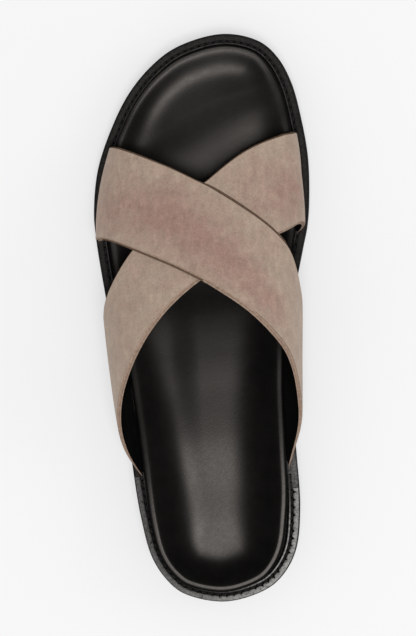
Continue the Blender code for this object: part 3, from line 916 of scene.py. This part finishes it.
def make_footbed():
    arcs = even_arcs(FOOTBED_STEPS)
    crest, bead = rim_inset(arcs), rim_bead(arcs)
    base = outline_at(arcs, FOOTBED_WALL_INSET)
    foot = raised(base, sole_top(base[:, 1]) + GAP)
    steps = [-bead * math.cos(turn) for turn in np.linspace(0, math.pi / 2, ROLL_STEPS + 1)]
    steps += list(np.linspace(0, RIM_INNER_REACH, RIM_STEPS + 1)[1:])
    rings = []
    for within in steps:
        plan = outline_at(arcs, crest + within)
        rings.append(raised(plan, footbed_height(plan[:, 0], plan[:, 1], within, bead)))
    walls = [foot + (rings[0] - foot) * share for share in WALL_SHARES]
    bed = across_ring(outline_at(arcs, crest + RIM_INNER_REACH), FOOTBED_COLUMNS_ACROSS)
    within = distance_to_loop(bed, outline_at(ARCS[:-1], rim_inset(ARCS[:-1])))
    within[:, (0, -1)] = RIM_INNER_REACH
    under = across_ring(base, UNDERSIDE_COLUMNS)
    top = raised(bed, footbed_height(bed[..., 0], bed[..., 1], within))
    points, faces = closed_shell(walls + rings, (top, raised(under, sole_top(under[..., 1]) + GAP)))
    cover = [footbed_leather()]
    faces = np.vstack(faces)
    new_piece("footbed_cover", points, faces, cover, replaces=["footbed"])


# Straps


def last_point(share, station):
    """Points on the last at a share of the way over from the lateral seat to the medial seat."""
    share, station = np.broadcast_arrays(share, station)
    lateral = share < 0.5
    beside = np.minimum(share, 1 - share)
    ridge = SHAPE["ridge"](station)
    side = np.where(lateral, SHAPE["lateral"](station), SHAPE["medial"](station))
    side_height = SHAPE["side_height"](station)
    edge = np.where(lateral, edge_x("lateral", station), edge_x("medial", station))
    slope = np.where(lateral, edge_slope("lateral", station), edge_slope("medial", station))
    seat = edge + np.where(lateral, 1, -1) * STRAP_SEAT_INSET * np.hypot(1, slope)
    foot = sole_top(station) + GAP
    climb = np.clip(beside / SIDE_SHARE, 0, 1)
    lean = side - seat
    outwards = lean * (side - ridge) > 0
    late = ease((climb - LEAN_START) / (1 - LEAN_START))
    leg = seat + lean * np.where(outwards, 1 - (1 - climb) ** 2, late)
    turn = math.pi / 2 * np.clip((beside - SIDE_SHARE) / (0.5 - SIDE_SHARE), 0, 1)
    arch = ridge + (side - ridge) * np.cos(turn)
    rise = SHAPE["ridge_height"](station) - side_height
    in_leg = beside < SIDE_SHARE
    height = np.where(in_leg, foot + (side_height - foot) * climb, side_height + rise * np.sin(turn))
    return place(np.where(in_leg, leg, arch), station, height)


def last_normal(share, station):
    """The outward direction of the last, level at the seats."""
    low, high = np.clip(share - SHARE_STEP, 0, 1), np.clip(share + SHARE_STEP, 0, 1)
    across = last_point(high, station) - last_point(low, station)
    along = last_point(share, station + MM) - last_point(share, station - MM)
    normal = unit(np.cross(across, along))
    normal[..., 2] *= ease(np.minimum(share, 1 - share) / (SIDE_SHARE / 2))
    return unit(normal)


def strap_lift(share):
    """How far the upper strap stands off the last, where it passes over the lower one."""
    first, second = CROSSING_SHARES
    up = ease((share - first + LIFT_RUN) / LIFT_RUN)
    down = ease((second + LIFT_RUN - share) / LIFT_RUN)
    return STRAP_THICKNESS * np.minimum(up, down)


def strap_thickness(share):
    """Full thickness, thinned where the ends are tucked in beside the footbed."""
    beside = np.minimum(share, 1 - share)
    return STRAP_END_THICKNESS + (STRAP_THICKNESS - STRAP_END_THICKNESS) * ease(beside / SIDE_SHARE)


def strap_section():
    """Section of a strap: share across, reach forwards, share of the thickness, rise, material slot.

    It runs from the lining at the rear edge up over the nap to the front edge and back along the lining.
    """
    turn = np.linspace(0, math.pi / 2, ROUND_STEPS + 1)
    flat = np.linspace(0, 1, STRAP_STEPS_ACROSS + 1)[1:-1]
    lining = [
        (-LINING_MARGIN, LINING_ROUND),
        (-LINING_MARGIN, LINING_THICKNESS - LINING_ROUND),
        (-LINING_MARGIN + LINING_ROUND, LINING_THICKNESS),
        (0.0, LINING_THICKNESS),
    ]
    edge = [(0, reach, 0, rise, MARGIN_SLOT) for reach, rise in lining]
    edge[-1] = (*edge[-1][:4], EDGE_SLOT)
    border = [(STRAP_ROUND * (1 - math.cos(a)), STRAP_ROUND * (math.sin(a) - 1)) for a in turn]
    edge += [(0, reach, 1, rise, EDGE_SLOT) for reach, rise in border]
    edge[-1] = (*edge[-1][:4], NAP_SLOT)
    edge[-2] = (*edge[-2][:4], BORDER_SLOT)
    top = [(share, 0.0, 1, 0.0, NAP_SLOT) for share in flat]
    slots = [DARK_EDGE_AND_SHADE_SLOT] * (len(edge) - 1) + [LINING_SLOT]
    front = [(1, -reach, part, rise, slot) for (_, reach, part, rise, _), slot in zip(edge[::-1], slots)]
    under = [(share, 0.0, 0, 0.0, LINING_SLOT) for share in flat[::-1]]
    return edge + top + front + under


def section_slots(profile, lifted, share):
    """Material slots round the section, dark brown along parts of the upper strap's rear edge; where it lies
    on the lower strap the brown margin stands partly for painted shade.
    """
    crossing = lifted and CROSSING_REAR[0] < share < CROSSING_REAR[1]
    turned = lifted and share > BORDER_START
    brown = {MARGIN_SLOT: crossing, BORDER_SLOT: turned}
    shown = {slot: DARK_EDGE_AND_SHADE_SLOT if is_brown else EDGE_SLOT for slot, is_brown in brown.items()}
    return [shown.get(slot, slot) for *_, slot in profile]


def front_margin(share):
    """How many times the lining's own margin shows along the upper strap's front, most where it crosses,
    where the wide dark brown margin stands partly for painted shade under the edge.
    """
    start, full, ebb, end = CROSSING_FRONT
    crossing = np.minimum(ease((share - start) / (full - start)), ease((end - share) / (end - ebb)))
    return FRONT_MARGIN + (CROSSING_MARGIN - FRONT_MARGIN) * crossing


def edge_stretch(share, station):
    """How much longer than its square width a reach along the shoe is, where a strap's edge runs aslant."""
    ahead, behind = last_point(share + SHARE_STEP, station), last_point(share - SHARE_STEP, station)
    across = np.linalg.norm(ahead - behind, axis=1)
    slope = np.gradient(station, share) * 2 * SHARE_STEP / across
    return np.clip(np.hypot(1, slope), 1, LARGEST_STRETCH)


def pinkness(share, across, patches):
    """How pink the nap is, from patches of (share, across, radius over, radius across, strength)."""
    total = np.zeros(np.broadcast(share, across).shape)
    for at_share, at_across, over, wide, strength in patches:
        away = ((share - at_share) / over) ** 2 + ((across - at_across) / wide) ** 2
        total = total + strength * np.exp(-away)
    return total


def strap_run(rows, lifted, steps):
    """Shares over the foot, and a strap's rear and front stations and its lift there."""
    edges = table_curves(STRAP_COLUMNS, rows, key_unit=1)
    share = np.linspace(0, 1, steps + 1)
    lift = strap_lift(share) if lifted else np.zeros_like(share)
    return share, edges["rear"](share), edges["front"](share), lift


def make_strap(name, rows, lifted, patches, materials):
    share, rear, front, lift = strap_run(rows, lifted, STRAP_STEPS_ALONG)
    stretch = {0: edge_stretch(share, rear), 1: edge_stretch(share, front)}
    margin = front_margin(share) if lifted else FRONT_MARGIN
    thickness = strap_thickness(share)
    profile = strap_section()
    columns = []
    for across, reach, part, rise, _ in profile:
        wider = margin if across == 1 and reach > 0 else 1
        station = rear + (front - rear) * across + reach * wider * stretch[round(across)]
        height = lift + thickness * part + rise
        columns.append(last_point(share, station) + last_normal(share, station) * height[:, None])
    points = np.stack(columns, axis=1)
    faces = tube_faces(*points.shape[:2])
    slots = [slot for at in share[:-1] for slot in section_slots(profile, lifted, at)]
    slots += [EDGE_SLOT, EDGE_SLOT]
    pink = pinkness(share[:, None], np.array(profile)[:, 0], patches)
    new_piece(
        name, points, faces, materials, slots, replaces=["upper"], values={"pink": pink}
    )


# Welt, rand and stitches


def sweep(section, arcs):
    """Points of a section carried along the sole's edge."""
    columns = []
    for inset, rise in section:
        plan = outline_at(arcs, inset * MM)
        columns.append(raised(plan, sole_top(plan[:, 1]) + rise * MM))
    return np.stack(columns, axis=1)


def open_strip(section, start, end, steps):
    """Points and faces of a strip with two ends."""
    points = sweep(section, np.linspace(start, end, steps + 1))
    return points, tube_faces(*points.shape[:2])


def strap_room(name, rows, lifted):
    """A strap grown by the gap on every side, to cut its slot in the welt."""
    share, rear, front, lift = strap_run(rows, lifted, ROOM_STEPS_ALONG)
    rear, front = rear - GAP, front + GAP
    inner, outer = [], []
    for step in np.linspace(0, 1, ROOM_STEPS_ACROSS + 1):
        station = rear + (front - rear) * step
        point, normal = last_point(share, station), last_normal(share, station)
        inner.append(point + normal * (lift - STRAP_ROOM_DEPTH)[:, None])
        outer.append(point + normal * (lift + strap_thickness(share) + GAP)[:, None])
    points = np.stack(inner + outer[::-1], axis=1)
    for end, other in ((0, 1), (-1, -2)):
        points[end] += unit(points[end] - points[other]) * GAP
    return new_cutter(name, points, tube_faces(*points.shape[:2]))


def make_welt():
    arcs = even_arcs(EDGE_STEPS)
    points = sweep(WELT_SECTION, arcs)
    closed = np.vstack((points, points[:1]))
    faces = grid_faces(*closed.shape[:2], wrap=True)
    on_lip = [WELT_LIP[0] <= inset < WELT_LIP[1] for inset, _ in WELT_SECTION]
    slots = [WELT_LIP_SLOT if lip else WELT_FLAT_SLOT for lip in on_lip] * EDGE_STEPS
    leathers = [
        leather_with_painted_highlight("welt_leather", WELT_TONES, roughness=0.65, where=WELT_HIGHLIGHT_SPOT),
        leather_with_painted_highlight("lip_leather", LIP_TONES, roughness=0.6, where=LIP_HIGHLIGHT_SPOT),
    ]
    welt = new_piece("welt_strip", closed, faces, leathers, slots, replaces=["welt"])
    start, end = rand_arcs()
    room = open_strip(RAND_ROOM, start - GAP, end + GAP, RAND_ROOM_STEPS)
    cutters = [
        new_cutter("rand_room", *room),
        strap_room("under_room", UNDER_STRAP, False),
        strap_room("over_room", OVER_STRAP, True),
    ]
    cut(welt, cutters)


def rand_arcs():
    """Lengths along the outline at the rand's ends, from the lateral one round the heel to the medial one."""
    return arc_of("lateral", RAND_ENDS["lateral"]), PERIMETER + arc_of("medial", RAND_ENDS["medial"])


def make_rand():
    start, end = rand_arcs()
    arcs = np.linspace(start, end, RAND_STEPS + 1)
    medial = ease(0.5 + outline_at(arcs)[:, 0] / NOTCH_FADE)
    waves = np.prod([np.sin(arcs / (period * STITCH_PITCH)) for period in NOTCH_PERIODS], axis=0)
    depth = NOTCH_DEPTH * (1 + NOTCH_UNEVENNESS * waves) * (LATERAL_NOTCHES + (1 - LATERAL_NOTCHES) * medial)
    notch = depth * np.cos(math.pi * arcs / STITCH_PITCH) ** (2 * NOTCH_SHARPNESS)
    points, faces = open_strip(RAND_SECTION, start, end, RAND_STEPS)
    inset = np.array(RAND_SECTION)[:, 0] * MM
    inner = np.clip((inset - NOTCH_START) / (inset.max() - NOTCH_START), 0, 1)
    inwards = outline_at(arcs, MM) - outline_at(arcs)
    points[..., :2] -= (inwards / MM)[:, None] * (notch[:, None] * inner)[..., None]
    board = [rand_board()]
    new_piece("heel_rand_strip", points, faces, board, replaces=["heel_rand"])


def seat_ranges():
    """Lengths along the outline that the straps' ends cover."""
    ranges = []
    for rows in (UNDER_STRAP, OVER_STRAP):
        for row, side in ((rows[0], "lateral"), (rows[-1], "medial")):
            ends = [arc_of(side, row[index] * MM) for index in (1, 2)]
            ranges.append((min(ends) - STITCH_PITCH / 2, max(ends) + STITCH_PITCH / 2))
    return ranges


def stitch_form():
    """One stitch as (along, inwards, up): a round thread that dips into the welt at both ends."""
    along = np.linspace(-1, 1, STITCH_STEPS)
    rise = STITCH_RADIUS * (STITCH_RISE - STITCH_DIP * np.abs(along) ** DIP_POWER)
    turn = np.arange(STITCH_SIDES) * 2 * math.pi / STITCH_SIDES
    girth = STITCH_RADIUS * np.sqrt(np.clip(TAPER_START - along**TAPER_POWER, TAPER_END, None))
    across = girth[:, None] * np.cos(turn)
    up = rise[:, None] + girth[:, None] * np.sin(turn)
    return np.stack(np.broadcast_arrays(along[:, None] * STITCH_LENGTH / 2, across, up), axis=-1)


def stitch_arcs(shift):
    """Lengths along the outline of the stitches that no strap covers, moved on by a share of the pitch."""
    count = round(PERIMETER / STITCH_PITCH)
    arcs = even_arcs(count, shift)
    for low, high in seat_ranges():
        arcs = arcs[(arcs < low) | (arcs > high)]
    return arcs


def along_welt(form, arcs):
    """Copies of a form of (along, inwards, up) set on the welt at lengths along the outline."""
    flat = form.reshape(-1, 3)
    arc = arcs[:, None] + flat[None, :, 0]
    plan = outline_at(arc, STITCH_INSET + np.broadcast_to(flat[None, :, 1], arc.shape))
    return raised(plan, sole_top(plan[..., 1]) + STITCH_SURFACE + flat[None, :, 2])


def hole_form():
    """One stitch hole as (along, inwards, up): a small dish with a raised lip."""
    turn = np.arange(HOLE_SIDES) * 2 * math.pi / HOLE_SIDES
    rings = []
    for wide, rise in HOLE_SECTION:
        radius, height = wide * HOLE_RADIUS, np.full(HOLE_SIDES, rise * MM)
        rings.append(np.stack((radius * np.cos(turn), radius * np.sin(turn), height), axis=-1))
    return np.stack(rings)


def make_row(name, form, shift, material):
    """A row of small forms along the welt, as one piece."""
    arcs = stitch_arcs(shift)
    faces = tube_faces(*form.shape[:2], len(arcs))
    new_piece(name, along_welt(form, arcs), faces, [material])


# Outsole


def make_outsole():
    arcs = even_arcs(SOLE_STEPS)
    rings = []
    for inset, rise, level in SOLE_LEVELS:
        plan = outline_at(arcs, inset * MM)
        low, high = sole_bottom(plan[:, 1]), sole_top(plan[:, 1])
        heights = {"bottom": low + rise * MM, "middle": low + (high - low) * rise, "top": high + rise * MM}
        rings.append(raised(plan, heights[level]))
    under, over = (outline_at(arcs, level[0] * MM) for level in (SOLE_LEVELS[0], SOLE_LEVELS[-1]))
    tread, top = across_ring(under, TREAD_COLUMNS), across_ring(over, TOP_COLUMNS)
    lids = (raised(tread, tread_height(tread, under)), raised(top, sole_top(top[..., 1])))
    points, faces = closed_shell(rings, lids)
    slots = np.repeat((RUBBER_SLOT, RUBBER_SLOT, GAP_SHADE_SLOT), [len(part) for part in faces])
    faces, looks = np.vstack(faces), [sole_rubber(), painted_shade_black()]
    outsole = new_piece(
        "outsole_unit", points, faces, looks, slots, replaces=["outsole"]
    )
    cut(outsole, [arch_cutter()])


def tread_height(plan, ring):
    """Height of the underside with shallow wavy grooves across it, which end inside a plain border."""
    x, station = plan[..., 0], plan[..., 1]
    wave = station + TREAD_SWING * np.sin(2 * math.pi * x / TREAD_WAVE)
    groove = ease((np.cos(2 * math.pi * wave / TREAD_PITCH) - TREAD_LAND) / (1 - TREAD_LAND))
    border = ease((distance_to_loop(plan, ring) - TREAD_BORDER) / TREAD_FADE)
    border[:, (0, -1)] = 0
    return sole_bottom(station) + TREAD_DEPTH * groove * border


def arch_cutter():
    """The hollow under the waist, between the heel's breast and the tread, as a bar across the sole."""
    turn = np.linspace(0, math.pi / 2, BREAST_STEPS + 1)
    back, low = HEEL_BREAST + BREAST_RADIUS, BREAST_HEIGHT - BREAST_RADIUS
    share = np.linspace(0, 1, ARCH_STEPS + 1)[1:]
    breast = back - BREAST_RADIUS * np.cos(turn)
    waist = back + (ARCH_FRONT - back) * share
    station = np.concatenate(([HEEL_BREAST], breast, waist, [ARCH_FRONT]))
    breast_height = low + BREAST_RADIUS * np.sin(turn)
    waist_height = BREAST_HEIGHT * (1 - ease(share)) - ARCH_FRONT_DROP * share
    height = np.concatenate(([-ARCH_CUT_DEPTH], breast_height, waist_height, [-ARCH_CUT_DEPTH]))
    points = np.stack([place(x, station, height) for x in (-ARCH_HALF_WIDTH, ARCH_HALF_WIDTH)])
    return new_cutter("arch_cutter", points, tube_faces(*points.shape[:2]))


# Floor, light and camera


def make_floor():
    half = FLOOR_HALF_SIDE
    corners = [(-half, -half, 0), (half, -half, 0), (half, half, 0), (-half, half, 0)]
    mesh = new_mesh("floor", corners, [(0, 1, 2, 3)])
    material, tree, shader = new_material("floor_paper")
    shade(tree, shader, {"Base Color": FLOOR_GREY, "Roughness": 0.9, "Specular IOR Level": 0.0})
    shade(tree, shader, {"Emission Color": WHITE, "Emission Strength": FLOOR_GLOW})
    mesh.materials.append(material)
    floor = new_object("floor", mesh)
    floor.visible_glossy = False


def area_light(name, where, size, energy, glossy=True):
    """A square soft light that looks at the shoe."""
    data = bpy.data.lights.new(name, "AREA")
    data.shape = "SQUARE"
    data.size = size
    data.energy = energy
    light = new_object(name, data)
    light.location = where
    light.rotation_euler = (AIM - Vector(where)).to_track_quat("-Z", "Y").to_euler()
    light.visible_glossy = glossy


def make_light():
    area_light("overhead", OVERHEAD_PLACE, size=0.45, energy=15)
    area_light("side", SIDE_PLACE, size=0.6, energy=2.0, glossy=False)
    world = bpy.data.worlds.new("studio")
    world.use_nodes = True
    bpy.context.scene.world = world
    shade(world.node_tree, world.node_tree.nodes["Background"], {"Color": WHITE, "Strength": SKY_STRENGTH})
    world.cycles_visibility.glossy = False
    bpy.context.scene.view_settings.view_transform = "Standard"


def make_camera():
    data = bpy.data.cameras.new("camera")
    data.sensor_fit = "VERTICAL"
    data.sensor_height = SENSOR_HEIGHT
    distance = CAMERA_HEIGHT - AIM.z
    field = LENGTH * IMAGE_HEIGHT / SHOE_PIXELS
    data.lens = data.sensor_height * distance / field
    camera = new_object("camera", data)
    camera.location = (CAMERA_OFFSET.x, CAMERA_OFFSET.y, CAMERA_HEIGHT)
    back = (camera.location - AIM).normalized()
    up = Vector((math.sin(CAMERA_TURN), math.cos(CAMERA_TURN), 0.0))
    right = up.cross(back).normalized()
    turned = Matrix((right, back.cross(right), back)).transposed()
    camera.rotation_euler = turned.to_euler()
    bpy.context.scene.camera = camera


make_camera()
make_light()
make_floor()
make_outsole()
make_footbed()
make_welt()
make_rand()
make_row("welt_stitches", stitch_form(), 0.0, thread_black())
make_row("stitch_holes", hole_form(), 0.5, painted_shade_black())
STRAP_MATERIALS = [
    suede(),
    lining_leather(),
    edge_leather("suede_cut_edge", CUT_EDGE_TONES, size=1.5 * MM, specular=0.25, depth=0.1 * MM),
    edge_leather("dark_edge_and_shade", DARK_EDGE_AND_SHADE_TONES, size=1.2 * MM, specular=0.2, depth=0.05 * MM),
]
make_strap("under_strap", UNDER_STRAP, False, UNDER_PATCHES, STRAP_MATERIALS)
make_strap("over_strap", OVER_STRAP, True, OVER_PATCHES, STRAP_MATERIALS)
